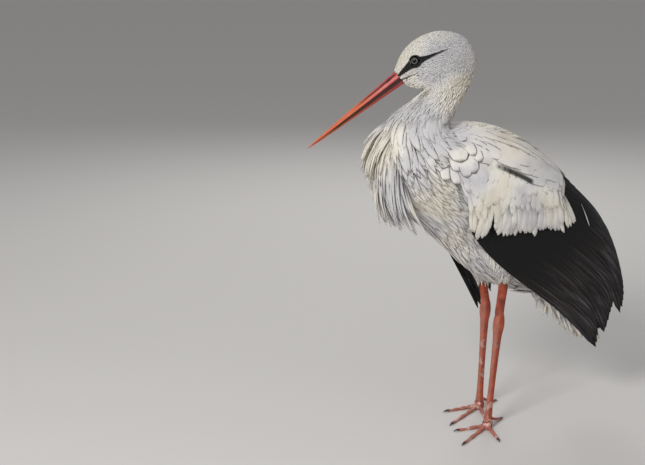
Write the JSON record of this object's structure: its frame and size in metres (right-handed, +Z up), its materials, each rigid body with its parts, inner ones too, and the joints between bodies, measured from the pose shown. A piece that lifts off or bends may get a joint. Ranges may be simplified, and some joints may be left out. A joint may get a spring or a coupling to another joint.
{
  "type": "white stork",
  "caption": "Life-size standing white stork figure with its neck drawn in, bill pointing down and forward, wings folded and both feet on the floor.",
  "frame": {"origin": "middle of the base of the bird's box, on the floor", "axes": "+Z up; the bird faces -X and its left side is -Y"},
  "size_m": [0.5972, 0.2312, 0.7308],
  "materials": {
    "white plumage": "soft feathers, matt",
    "black plumage": "stiff feathers with a faint sheen",
    "red bill": "horn, satin",
    "red skin": "scaly bare skin",
    "horn": "dull horn",
    "eye": "polished"
  },
  "bodies": {
    "root": {"bill_lower": "red bill", "bill_upper": "red bill", "breast": "white plumage", "claw_left_hind": "horn", "claw_left_inner": "horn", "claw_left_middle": "horn", "claw_left_outer": "horn", "claw_right_hind": "horn", "claw_right_inner": "horn", "claw_right_middle": "horn", "claw_right_outer": "horn", "eye_left": "eye", "eye_right": "eye", "head": "white plumage", "neck": "white plumage", "shank_left": "red skin", "shank_right": "red skin", "tail": "white plumage", "tarsus_left": "red skin", "tarsus_right": "red skin", "thigh_left": "white plumage", "thigh_right": "white plumage", "toe_left_hind": "red skin", "toe_left_inner": "red skin", "toe_left_middle": "red skin", "toe_left_outer": "red skin", "toe_right_hind": "red skin", "toe_right_inner": "red skin", "toe_right_middle": "red skin", "toe_right_outer": "red skin", "trunk": "white plumage", "wing_left_coverts": "white plumage", "wing_left_primaries": "black plumage", "wing_left_secondaries": "black plumage", "wing_right_coverts": "white plumage", "wing_right_primaries": "black plumage", "wing_right_secondaries": "black plumage"}
  },
  "joints": []
}
